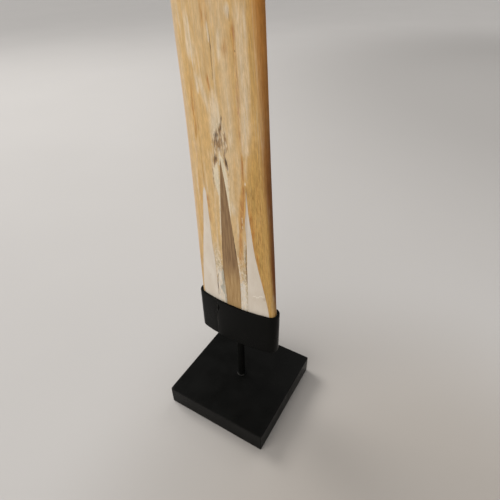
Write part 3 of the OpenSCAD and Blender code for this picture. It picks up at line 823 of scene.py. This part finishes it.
def inlay(node, material, proud, seed):
    """An inlay let into the front, its face following the tube's and standing proud of it,
    and the shape of the pocket that it fits."""
    z_known, left_known, right_known = inlay_edges(node)
    rows = int((z_known[-1] - z_known[0]) / (1.1 * MM))
    z = np.linspace(z_known[0], z_known[-1], rows)
    z[0] += 0.02 * MM
    left, right = np.interp(z, z_known, left_known), np.interp(z, z_known, right_known)
    sway = [0.12 * MM * rough(z / (7 * MM), np.full(rows, q), seed, 4) for q in (0.5, 7.5)]
    closing = 0.2 * MM * smooth(z, z[-1] - 2.5 * MM, z[-1])
    left, right = left + sway[0] + closing, right + sway[1] - closing
    right = np.maximum(right, left + 0.25 * MM)
    u = np.concatenate([[0, 0.004, 0.012], np.linspace(0.03, 0.97, 36), [0.988, 0.996, 1]])[None, :]
    across = u.shape[1]
    x = left[:, None] * (1 - u) + right[:, None] * u
    zz = np.repeat(z[:, None], across, 1)
    y, nx, ny = front_y(x, zz)
    from_edge = u * (1 - u) * (right - left)[:, None] / MM
    out = (proud * (1 - hump(from_edge / 0.25)) + 0.3 * relief(x, zz)
           + 0.12 * MM * (filler_ridge(x, zz) - np.exp(-from_edge / 0.12)))
    top = np.stack([x + nx * out, y + ny * out, zz], -1)
    tilt_x, tilt_y = (v[rows // 3, across // 2] for v in (nx, ny))
    depth = INLAY_DEPTH - 0.08 * MM
    floor = np.stack([x - tilt_x * depth, y - tilt_y * depth, zz], -1)
    points = np.concatenate([top, floor[:, ::-1]], 1)
    obj = piece(f"{node}_face", points, flat_bar(rows, across), INSTRUMENT, [node], [material])
    return obj, pocket_for(z, left - GAP, right + GAP, (tilt_x, tilt_y))


def pocket_for(z, left, right, tilt):
    """A plain cutter: the inlay's outline, from outside the face down to the pocket's floor."""
    z = np.concatenate([[z[0] - 1 * MM], z, [z[-1] + GAP]])
    corners = []
    for edge, reach in ((left, 3 * MM), (right, 3 * MM), (right, -INLAY_DEPTH), (left, -INLAY_DEPTH)):
        x = np.r_[edge[0], edge, edge[-1]]
        corners.append(np.stack([x + tilt[0] * reach, front_y(x, z)[0] + tilt[1] * reach, z], -1))
    return piece("cutter", np.stack(corners, 1), flat_bar(len(z), 2), None)


def cut(obj, cutters):
    """Takes the cutters out of a mesh and removes them."""
    for cutter in cutters:
        tool = obj.modifiers.new("pocket", "BOOLEAN")
        tool.operation, tool.solver, tool.object = "DIFFERENCE", "MANIFOLD", cutter
    graph = bpy.context.evaluated_depsgraph_get()
    made = bpy.data.meshes.new_from_object(obj.evaluated_get(graph))
    obj.modifiers.clear()
    old, obj.data = obj.data, made
    bpy.data.meshes.remove(old)
    obj.data.name = obj.name
    for cutter in cutters:
        bpy.data.objects.remove(cutter)
    settle(obj)


def paint_heart(obj):
    """Paints the heartwood's grain, its warm lower end, the painted shade in the gaps along its edges and
    the grey lines there.
    """
    co = points_of(obj)
    x, z = co[:, 0], co[:, 2]
    h = (z - RIM) / MM
    z_known, left, right = inlay_edges("heartwood_wedge")
    to_left = (x - np.interp(z, z_known, left)) / MM
    to_right = (np.interp(z, z_known, right) - x) / MM
    paint(obj, "grain", np.stack([x - 0.3 * section(z)[0], co[:, 1], z], 1))
    paint(obj, "warm", smooth(h, 75, 35))
    # Painted shade of the gap between the heartwood and its pocket, along both edges.
    gap_shade_right = hump(to_right / 0.9) * (0.45 + 0.55 * smooth(h, 55, 85)) * smooth(h, 125, 100)
    gap_shade_left = 0.7 * hump(to_left / 0.7) * smooth(h, 10, 50) * smooth(h, 80, 65)
    paint(obj, "crevice_shade", gap_shade_right + gap_shade_left)
    grey_left = 0.9 * hump(to_left / 1.2) * smooth(h, 48, 20)
    grey_right = 0.6 * hump(to_right / 1.0) * smooth(h, 60, 30)
    paint(obj, "slate", grey_left + grey_right)


def paint_filler(obj):
    """Paints the filler's stains, which darken the right one's tip, and the ridge."""
    co = points_of(obj)
    x, h = co[:, 0] / MM, (co[:, 2] - RIM) / MM
    stains = 0.2 * np.abs(noise(x / 5, h / 16, 9)) + 0.55 * hump((x - 20.6) / 1.1) * smooth(h, 95, 120)
    for mark_x, mark_h, size, strength in FILLER_MARKS:
        stains = stains + strength * hump((x - mark_x) / size) * hump((h - mark_h) / (1.6 * size))
    paint(obj, "stain", stains)
    paint(obj, "ridge", filler_ridge(co[:, 0], co[:, 2]))


def make_instrument():
    """Both halves of the log and the three inlays, with fine rows where the photo shows them."""
    wood = [pale_wood(), bored_wood(), end_grain()]
    photo_top, near_socket = RIM + 345 * MM, RIM + 60 * MM
    fine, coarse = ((2 * MM, 5.5 * MM))
    columns = 196
    front = half_tube("tube_front", -1, heights(fine, photo_top, coarse),
                      np.linspace(0, 1, columns), relief, wood)
    back = half_tube("tube_back", 1, heights(4 * MM, near_socket, 6 * MM), np.linspace(0, 1, 90),
                     relief_behind, wood)
    cream = plaster()
    inlays = [inlay("heartwood_wedge", heart_wood(), 0.02 * MM, 101),
              inlay("filler_left", cream, 0.05 * MM, 111),
              inlay("filler_right", cream, 0.05 * MM, 121)]
    (heart, left, right), pockets = zip(*inlays)
    cut(front, pockets)
    stain(front, -1)
    stain(back, 1)
    paint_heart(heart)
    paint_filler(left)
    paint_filler(right)


# ---- turned and bent metal

def lathe(name, profile, centre, body, replaces, material, steps=96, ripple=None, crease=35):
    """A closed profile of (radius, height) turned about an upright axis. ripple says how much
    larger a radius is at (turn, radius, height)."""
    turn = np.linspace(0, 2 * pi, steps, endpoint=False)[:, None]
    radius, height = (np.array(profile, float).T[q][None, :] for q in (0, 1))
    if ripple:
        radius = radius + ripple(turn, radius, height)
    points = np.stack([centre[0] + radius * np.cos(turn), centre[1] + radius * np.sin(turn),
                       centre[2] + height + 0 * turn], -1)
    faces = grid(steps, len(profile), along=True, across=True)
    return piece(name, points, faces, body, replaces, [material], crease=crease)


def arc(cx, cy, radius, start, end, steps=6):
    """Points of a rounded corner, between two angles in degrees."""
    return [(cx + radius * cos(radians(t)), cy + radius * sin(radians(t)))
            for t in np.linspace(start, end, steps)]


def squared(side, chamfer, inset, count):
    """Outline of a square in plan with its corners cut, walked in count steps to a side."""
    s, k = side / 2 - inset, side / 2 - inset - chamfer
    corners = [(s, -k), (s, k), (k, s), (-k, s), (-s, k), (-s, -k), (-k, -s), (k, -s)]
    out = []
    for (x0, y0), (x1, y1) in zip(corners, corners[1:] + corners[:1]):
        steps = count if abs(x1 - x0) + abs(y1 - y0) > side / 2 else 3
        out += [(x0 + (x1 - x0) * i / steps, y0 + (y1 - y0) * i / steps) for i in range(steps)]
    return np.array(out)


def base_plate(satin):
    """The square plate: eased edges, a countersunk hole from below, a chipped, scuffed corner, and a painted
    highlight along its top edges.
    """
    low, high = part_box("base_plate")
    side = high.x - low.x
    chamfer, ease, hole_r, sink_r = 0.8 * MM, 0.7 * MM, 3.2 * MM, 6.2 * MM
    sink_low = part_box("post_screw")[0].z
    rings = []

    def ring(inset, z, to_hole=0.0, radius=0.0):
        square = squared(side, chamfer, inset, 44)
        angle = np.arctan2(square[:, 1], square[:, 0])
        circle = radius * np.stack([np.cos(angle), np.sin(angle)], 1)
        flat = square * (1 - to_hole) + circle * to_hole
        rings.append(np.column_stack([flat, np.full(len(flat), z)]))

    for t in np.linspace(0, 90, 5):
        ring(ease * (1 - sin(radians(t))), low.z + ease * (1 - cos(radians(t))))
    for z in np.linspace(low.z + ease, high.z - ease, 10)[1:-1]:
        ring(0, z)
    for t in np.linspace(0, 90, 5):
        ring(ease * (1 - cos(radians(t))), high.z - ease * (1 - sin(radians(t))))
    for share in np.linspace(0, 1, 26)[1:]:
        ring(ease, high.z, share, hole_r)
    ring(ease, sink_low + (sink_r - hole_r), 1, hole_r)
    ring(ease, sink_low, 1, sink_r)
    for share in np.linspace(1, 0, 12)[:-1]:
        ring(ease, low.z, share, sink_r)

    points = np.array(rings)
    x, y, z = np.moveaxis(points, 2, 0)
    wave = 0.05 * MM * rough(x / (22 * MM), y / (22 * MM), 71)
    points[..., 2] += np.where(z > high.z - 0.1 * MM, np.minimum(wave, 0) - 0.02 * MM, 0)
    to_corner = (x + side / 2) / (1.8 * MM), (y + side / 2) / (1.4 * MM), (z - high.z) / (2.5 * MM)
    chip = hump(to_corner[0]) * hump(to_corner[1]) * hump(to_corner[2])
    chip = chip * (1 + 0.6 * rough(x / (1.5 * MM) + 7, z / (1.5 * MM), 73))
    points[..., 0] += 0.5 * MM * chip
    points[..., 1] += 0.35 * MM * chip
    points[..., 2] -= 0.3 * MM * chip * (z > high.z - 6 * MM)
    faces = grid(len(rings), points.shape[1], across=True, along=True)
    obj = piece("base_plate_block", points, faces, STAND, ["base_plate"], [satin],
                crease=30)
    from_x, from_y, from_top = abs(points_of(obj) - (0, 0, high.z)).T
    # Lighter along the top edges: partly scuffed paint and partly a painted highlight; the corners and the
    # chip are scuffed paint.
    edge_highlight = hump(np.hypot(side / 2 - np.maximum(from_x, from_y), from_top) / (0.9 * MM))
    corner = np.exp((from_x + from_y - side) / (1.6 * MM))
    paint(obj, "edge", np.clip(0.4 * edge_highlight + 0.5 * corner + chip.ravel(), 0, 1))


def socket_measures(node):
    """Half width, half thickness and side radius of an oval CAD solid, and its two heights."""
    low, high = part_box(node)
    co = points_of(CAD[node])
    half = (high.x - low.x) / 2
    return half, (high.y - low.y) / 2, side_radius(co[abs(co[:, 2] - high.z) < SAME], half), low.z, high.z


def strip_profile(thick, low, high, ease):
    """Section of the strip, as (inset from its outside, height), with eased edges."""
    outer = [(0, z) for z in np.linspace(low + ease, high - ease, 56)[1:-1]]
    inner = [(thick, z) for z in np.linspace(high - ease, low + ease, 12)[1:-1]]
    corners = [arc(x, z, ease, start, start - 90, 5) for x, z, start in (
        (ease, low + ease, 270), (ease, high - ease, 180), (thick - ease, high - ease, 90),
        (thick - ease, low + ease, 0))]
    return np.array(corners[0][1:] + outer + corners[1] + corners[2] + inner + corners[3])


def steps_near(x, reach, step, a, b, r, spread):
    """Steps along an oval's face, even ones and closer ones round a place x."""
    face_r, lean = face_arc(a, b, r)
    close = np.arange(x - reach, x + reach, step)
    shares = (1 - np.arcsin(close / face_r) / lean) / 2
    even = np.linspace(0, 1, spread)
    even = even[(even < shares.min() - 0.002) | (even > shares.max() + 0.002)]
    return np.sort(np.concatenate([even, shares]))


def bent_strip(satin):
    """The strip of the socket, bent round and open at its seam."""
    half, thick_half, r, low, high = socket_measures("socket_strip")
    seam_low, seam_high = (q.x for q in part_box("strip_weld"))
    thick = 3 * MM
    steps = steps_near((seam_low + seam_high) / 2, 7 * MM, 0.4 * MM, half, thick_half, r, 90)
    ring = whole_oval(half, thick_half, r, np.linspace(0, 1, 20), steps)
    in_seam = (ring[:, 1] < 0) & (ring[:, 0] > seam_low) & (ring[:, 0] < seam_high)
    ring = np.roll(ring, -(np.flatnonzero(in_seam)[-1] + 1), 0)
    ring = ring[: len(ring) - in_seam.sum()]
    for end, beside, x in ((0, 1, seam_low), (-1, -2, seam_high)):
        way = ring[beside] - ring[end]
        ring[end] = ring[end] + way * (x - ring[end, 0]) / way[0]

    profile = strip_profile(thick, low, high, 0.55 * MM)
    inset, z = profile[None, :, 0], profile[None, :, 1]
    x, y, nx, ny = (ring[:, q][:, None] for q in range(4))
    far = 90  # in millimetres, where the seam isn't near
    to_left = np.where((y < 0) & (x < seam_low + 0.1 * MM), (seam_low - x) / MM, far)
    to_right = np.where((y < 0) & (x > seam_high - 0.1 * MM), (x - seam_high) / MM, far)
    up = (z - low) / (high - low)
    outside = inset < thick / 2
    waves = 0.12 * rough((x + 3 * y) / (17 * MM), z / (30 * MM), 81)
    ground = -0.22 * hump(to_left / 3.5) - 0.16 * hump(to_right / 2.2)
    bow = 1 - ((up - 0.82) / 0.1) ** 2
    notch = -1.5 * hump((to_right - 2.1 * bow) / 0.85) * smooth(bow, -0.35, 0.25)
    out = MM * np.where(outside, np.minimum(waves, 0.02) + ground + notch - 0.02, 0)
    rim = MM * 0.18 * rough(x / (5 * MM), y / (5 * MM) + 3, 83) * smooth(up, 0.97, 1.0)
    points = np.stack([x + nx * (out - inset), y + ny * (out - inset), z + np.minimum(rim, 0)], -1)
    n, m = points.shape[:2]
    faces = grid(n, m, across=True) + [list(range(row * m, row * m + m)) for row in (0, n - 1)]
    obj = piece("socket_band", points, faces, STAND, ["socket_strip"], [satin], crease=32)
    edge = hump((high - z) / (0.5 * MM)) + 0.7 * hump((z - low) / (0.6 * MM))
    # A painted reflection: the strip just left of the seam is painted lighter.
    sheen_left_of_seam = 0.35 * hump(to_left / 9) * outside
    paint(obj, "edge", np.clip(np.where(outside, 0.3, 0.09) * edge + sheen_left_of_seam, 0, 1).ravel())


def seam_weld(weld):
    """The ground-down bead in the strip's seam, proud below and sunk in a notch near the rim."""
    (x0, y0, z0), (x1, y1, z1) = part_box("strip_weld")
    rows, across = 70, 9
    z = np.linspace(z0 + 0.3 * MM, z1 - 0.25 * MM, rows)[:, None]
    t = np.linspace(0, 1, across)[None, :]
    up = (z - z0) / (z1 - z0)
    sway = 0.25 * MM * rough(z / (8 * MM), z * 0, 91)
    notch = 0.9 * hump((up - 0.82) / 0.085) * t
    ridge = 0.34 * smooth(up, 0.66, 0.4) - 0.06 - notch + 0.1 * rough(z / (2.2 * MM), t * 0 + 4, 93)
    x = x0 - 0.1 * MM + (x1 - x0 + 0.2 * MM) * t + sway * np.sin(pi * t)
    y = y0 + 0.3 * MM - MM * ridge * np.sin(pi * t)
    front = np.stack([x, y, z + 0 * t], -1)
    back = np.stack([x0 + (x1 - x0) * t + 0 * z, y1 - 0.05 * MM + 0 * y, z + 0 * t], -1)
    obj = piece("seam_bead", np.concatenate([front, back[:, ::-1]], 1), flat_bar(rows, across), STAND,
                ["strip_weld"], [weld], crease=60)
    # The whole bead is painted lighter: a painted highlight along the seam.
    paint(obj, "edge", np.full(2 * rows * across, 0.4))


# ---- felt

def felt_liner(felt):
    """Felt round the tube, inside the strip, frayed a little along its top edge."""
    half, thick_half, r, low, high = socket_measures("socket_liner")
    thick, clear = 0.8 * MM, 0.02 * MM
    ring = whole_oval(half, thick_half, r, np.linspace(0, 1, 24), np.linspace(0, 1, 150))
    around = np.cumsum(np.hypot(*np.diff(ring[:, :2], axis=0, append=ring[:1, :2]).T))
    fray = np.minimum(MM * (0.35 * rough(around / (3 * MM), around * 0, 51, 4) - 0.1), 0.25 * MM)
    share = np.concatenate([np.linspace(0, 0.96, 16), [0.98, 0.993, 1.0]])[:, None]
    z = low + (high - low) * share + fray * smooth(share, 0.9, 1.0)
    x, y, nx, ny = ring.T
    walls = []
    for inset, way in ((clear, 1), (thick - clear, -1)):
        depth = inset + way * 0.32 * MM * smooth(share, 0.985, 1.0)
        walls.append(np.stack([x - nx * depth, y - ny * depth, z], -1))
    points = np.concatenate([walls[0], walls[1][::-1]])
    obj = piece("liner_felt", points, grid(len(points), len(ring), across=True, along=True), STAND,
                ["socket_liner"], [felt], crease=60)


def felt_pad(name, node, outline, hole, felt, seed):
    """A flat felt pad with softened, slightly uneven edges; outline gives it a ring of points
    for an inset."""
    low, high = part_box(node)
    thick, middle = high.z - low.z, (low.z + high.z) / 2
    edge = outline(0)
    unit = edge / np.linalg.norm(edge, axis=1)[:, None]
    bulge = thick * 0.3
    rings = []

    def ring(inset, z, share=0.0):
        flat = outline(inset) * (1 - share) + share * hole * unit
        rings.append(np.column_stack([flat, np.full(len(flat), z)]))

    for t in np.linspace(-90, 90, 7):
        ring(bulge * (1 - cos(radians(t))), middle + thick / 2 * sin(radians(t)))
    shares = np.linspace(0, 1, 18)[1:]
    for z, way in ((high.z, 1), (low.z, -1)):
        for share in shares[::way]:
            ring(bulge, z, share)
    points = np.array(rings)
    x, y, z = np.moveaxis(points, 2, 0)
    fuzz = 0.12 * thick * rough(x / (3 * MM), y / (3 * MM), seed)
    points[..., 2] = np.clip(np.where(z > middle, z + np.minimum(fuzz, 0), z), low.z, high.z)
    faces = grid(len(rings), len(edge), across=True, along=True)
    return piece(name, points, faces, STAND, [node], [felt], crease=60)


def make_pads(felt):
    """The felt under the plate and the felt on the socket's floor."""
    low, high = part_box("base_felt")
    side = high.x - low.x
    pad = felt_pad("base_felt_pad", "base_felt", lambda inset: squared(side, 2 * MM, inset, 30),
                   8 * MM, felt, 131)

    half, thick_half, r = socket_measures("floor_felt")[:3]

    def lens(inset):
        return whole_oval(half - inset, thick_half - inset, r - inset, np.linspace(0, 1, 12),
                          np.linspace(0, 1, 60))[:, :2]

    pad = felt_pad("floor_felt_pad", "floor_felt", lens, 0.4 * MM, felt, 141)
    x, y = lens(0).T
    area = abs((x * np.roll(y, -1) - y * np.roll(x, -1)).sum()) / 2


# ---- post and stand

def make_post(satin, weld):
    """The post with its tenon and tapped end, the ring round its foot and the weld at its top."""
    low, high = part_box("post")
    radius, length = (high.x - low.x) / 2, high.z - low.z
    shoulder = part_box("socket_floor")[0].z - low.z
    tenon_r, bore_r, core_r, bevel = 3.5 * MM, 3.0 * MM, 0.3 * MM, 0.3 * MM
    bore_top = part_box("post_screw")[1].z + 3 * MM - low.z
    side = [(radius, z) for z in np.linspace(0.4 * MM, shoulder, 30)]
    tenon = [(tenon_r, shoulder), (tenon_r, length - 0.2 * MM), (tenon_r - bevel, length)]
    core = [(core_r, length), (core_r, bore_top + 1.5 * MM), (bore_r, bore_top)]
    profile = [(bore_r, 0), (radius - bevel, 0)] + side + tenon + core

    def rolled(turn, radius, height):
        marks = rough(height / (9 * MM) + 0 * turn, 3 * np.cos(turn) + 0 * height, 151)
        return np.where(radius > 4 * MM, np.minimum(0.03 * MM * marks, 0), 0)

    lathe("post_rod", profile, (0, 0, low.z), STAND, ["post"], satin, ripple=rolled)

    low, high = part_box("post_foot_ring")
    inner, outer, tall, ease = radius + 0.02 * MM, high.x, high.z - low.z, 0.55 * MM
    profile = [(inner, 0), (outer, 0)] + arc(outer - ease, tall - ease, ease, 0, 90) + [(inner, tall)]
    foot = lathe("foot_ring", profile, (0, 0, low.z), STAND, ["post_foot_ring"], weld)
    # A painted highlight on the front of the ring's top, facing -Y.
    y, z = points_of(foot)[:, 1:].T
    paint(foot, "edge", 0.45 * smooth(z, low.z + 0.3 * tall, high.z) * smooth(-y, -3 * MM, 5 * MM))

    low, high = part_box("post_weld")
    outer, leg = high.x, high.z - low.z
    inner = outer - leg
    slope = [(inner + leg * (t - 0.12 * sin(pi * t)), leg * (t + 0.1 * sin(pi * t)))
             for t in np.linspace(0, 0.96, 10)]
    profile = [(inner, leg)] + slope + [(outer - 0.05 * MM, leg)]

    def beads(turn, radius, height):
        share = (radius - inner) / leg
        return 0.12 * MM * np.sin(22 * turn + 2 * share) * np.clip(share * (1 - share) * 4, 0, 1)

    lathe("post_weld_bead", profile, (0, 0, low.z), STAND, ["post_weld"], weld,
          ripple=beads, crease=60)


def make_stand():
    """The plate, the post and the socket, with their felts."""
    satin = black_paint("black_steel", tint(11, 11, 10), (0.26, 0.4), tint(46, 45, 41))
    weld = black_paint("black_weld", tint(12, 12, 12), (0.24, 0.36), tint(84, 82, 78))
    felt = felt_cloth()
    base_plate(satin)
    bent_strip(satin)
    seam_weld(weld)
    felt_liner(felt)
    make_pads(felt)
    make_post(satin, weld)
    for node, finish in (("socket_floor", satin), ("post_screw", screw_steel())):
        CAD[node].data.materials.clear()
        CAD[node].data.materials.append(finish)


def wax_mouthpiece():
    """The beeswax ring: a rounded lip pressed over the tube's end, with finger dents."""
    low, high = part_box("mouthpiece_ring")
    centre = ((low.x + high.x) / 2, (low.y + high.y) / 2, 0)
    outer, bore, foot = (high.x - low.x) / 2, 14 * MM, low.z
    bead = (outer - bore) / 2
    middle = high.z - bead
    _, width, thick, _, wall = section(np.array([TUBE_TOP]))[:, 0]
    wood_out, wood_in = width + 0.05 * MM, thick - wall - 0.1 * MM
    crown = arc(bore + bead, middle, bead, 180, 0, 26)
    down = [(outer, z) for z in np.linspace(middle, foot + 0.5 * MM, 16)[1:]] + [(outer - 0.5 * MM, foot)]
    groove = [(wood_out, foot), (wood_out, TUBE_TOP), (wood_in, TUBE_TOP), (wood_in, foot)]
    up = [(bore, z) for z in np.linspace(foot + 0.2 * MM, middle, 10)[:-1]]
    profile = crown + down + groove + [(bore + 0.3 * MM, foot)] + up

    def kneaded(turn, radius, height):
        from_bore = (radius - bore) / (outer - bore)
        soft = 0.55 * rough(2.2 * np.cos(turn) + 9 + 0 * height, 2.2 * np.sin(turn) + height / (9 * MM), 161)
        fingers = 0.35 * np.cos(7 * turn + 0.6 * np.sin(2 * turn)) * smooth(height, foot + 3 * MM, middle)
        dents = np.minimum(smooth(from_bore, 0.75, 1.0) * (soft + fingers - 0.45), 0)
        return MM * (dents + 0.12 * soft * smooth(from_bore, 0.15, 0))

    lathe("wax_mouthpiece", profile, centre, INSTRUMENT, ["mouthpiece_ring"], bees_wax(),
          steps=120, ripple=kneaded, crease=50)


# ---- floor, light and camera

def make_floor():
    """A pale round floor, far wider than the view, with a painted shadow near the stand at the right and
    painted shade far off at the right.
    """
    steps, rings = 96, (0.3, 0.8, 2, 5, 9.0)
    turn = np.linspace(0, 2 * pi, steps, endpoint=False)
    points = [(0, 0, 0)] + [(q * cos(t), q * sin(t), 0) for q in rings for t in turn]
    faces = [[0, 1 + i, 1 + (i + 1) % steps] for i in range(steps)]
    faces += grid(len(rings), steps, 1, across=True)
    f = Finish("paper_floor")
    place = f.place()
    cloud = f.noise(place, 400, 400, 400)
    tooth = f.noise(place, 2, 2, 2)
    colour = f.mix(cloud, tint(191, 188, 185), tint(196, 193, 190))
    from_shadow, from_far_shade = f.distance(place, (0.3, -0.1, 0.0)), f.distance(place, (0.6, 2.2, 0.0))
    # Painted shadow round a point at the stand's front right, and painted shade far off at the right.
    colour = f.over(colour, tint(167, 160, 152), from_shadow, 0.5, 0.12, 0.85)
    colour = f.over(colour, tint(166, 163, 160), from_far_shade, 2.2, 0.8)
    paper = f.done(tooth, 0.05, Base_Color=colour, Roughness=0.7, Specular_IOR_Level=0.2)
    floor = piece("floor", points, faces, None, materials=[paper])


def light(name, kind, place, comes_from, colour, **settings):
    """A lamp at a place, whose light comes from a direction. settings are its own values."""
    data = bpy.data.lights.new(name, kind)
    data.color = colour
    for key, value in settings.items():
        setattr(data, key, value)
    obj = bpy.data.objects.new(name, data)
    obj.location = place
    obj.rotation_euler = Vector(comes_from).to_track_quat("Z", "Y").to_euler()
    bpy.context.scene.collection.objects.link(obj)


def make_light():
    """Soft light from the left, the front and above behind, and a pale room all round."""
    light("side_window", "SUN", (0, 0, 0), (-1, 0.12, 0.85), (1.0, 0.98, 0.945),
          energy=1.0, angle=radians(24))
    light("front_window", "SUN", (0, 0, 0), (-0.28, -1, 0.7), (1.0, 0.985, 0.96),
          energy=1.93, angle=radians(65))
    light("near_window", "AREA", (-2.4, 0.7, 2.2), (-2.4, 0.7, 2.1), (1.0, 0.985, 0.965),
          shape="DISK", size=1.5, energy=27)
    light("room_back", "AREA", (0.1, 2.1, 2.2), (0.1, 2.1, 2.1), (1.0, 0.98, 0.96),
          shape="DISK", size=1.8, energy=11)
    world = bpy.data.worlds.new("room")
    bpy.context.scene.world = world
    world.use_nodes = True
    sky = world.node_tree.nodes["Background"].inputs
    sky["Color"].default_value = (*tint(206, 206, 208), 1)
    sky["Strength"].default_value = 0.45


# The camera's place, the way it looks, its turn about that way, and its lens.
EYE = Vector((0.20728, -0.31455, 0.54004))
LOOK = Vector((-0.41386, 0.68738, -0.59685))
ROLL = radians(-0.905)
LENS_MM = 28.948


def make_camera():
    """The view of the photograph: close, from the front and above, looking down."""
    data = bpy.data.cameras.new("view")
    data.lens, data.sensor_width, data.sensor_fit = LENS_MM, 36, "HORIZONTAL"
    data.clip_start, data.clip_end = 0.01, 50
    level = LOOK.cross(Vector((0, 0, 1))).normalized()
    lift = level.cross(LOOK).normalized()
    right = level * cos(ROLL) + lift * sin(ROLL)
    up = lift * cos(ROLL) - level * sin(ROLL)
    turned = Matrix((right, up, -LOOK.normalized())).transposed().to_4x4()
    obj = bpy.data.objects.new("view", data)
    bpy.context.scene.collection.objects.link(obj)
    obj.matrix_world = Matrix.Translation(EYE) @ turned
    bpy.context.scene.camera = obj


make_camera()
make_floor()
make_light()
make_stand()
make_instrument()
wax_mouthpiece()
bpy.context.scene.view_settings.view_transform = "Standard"
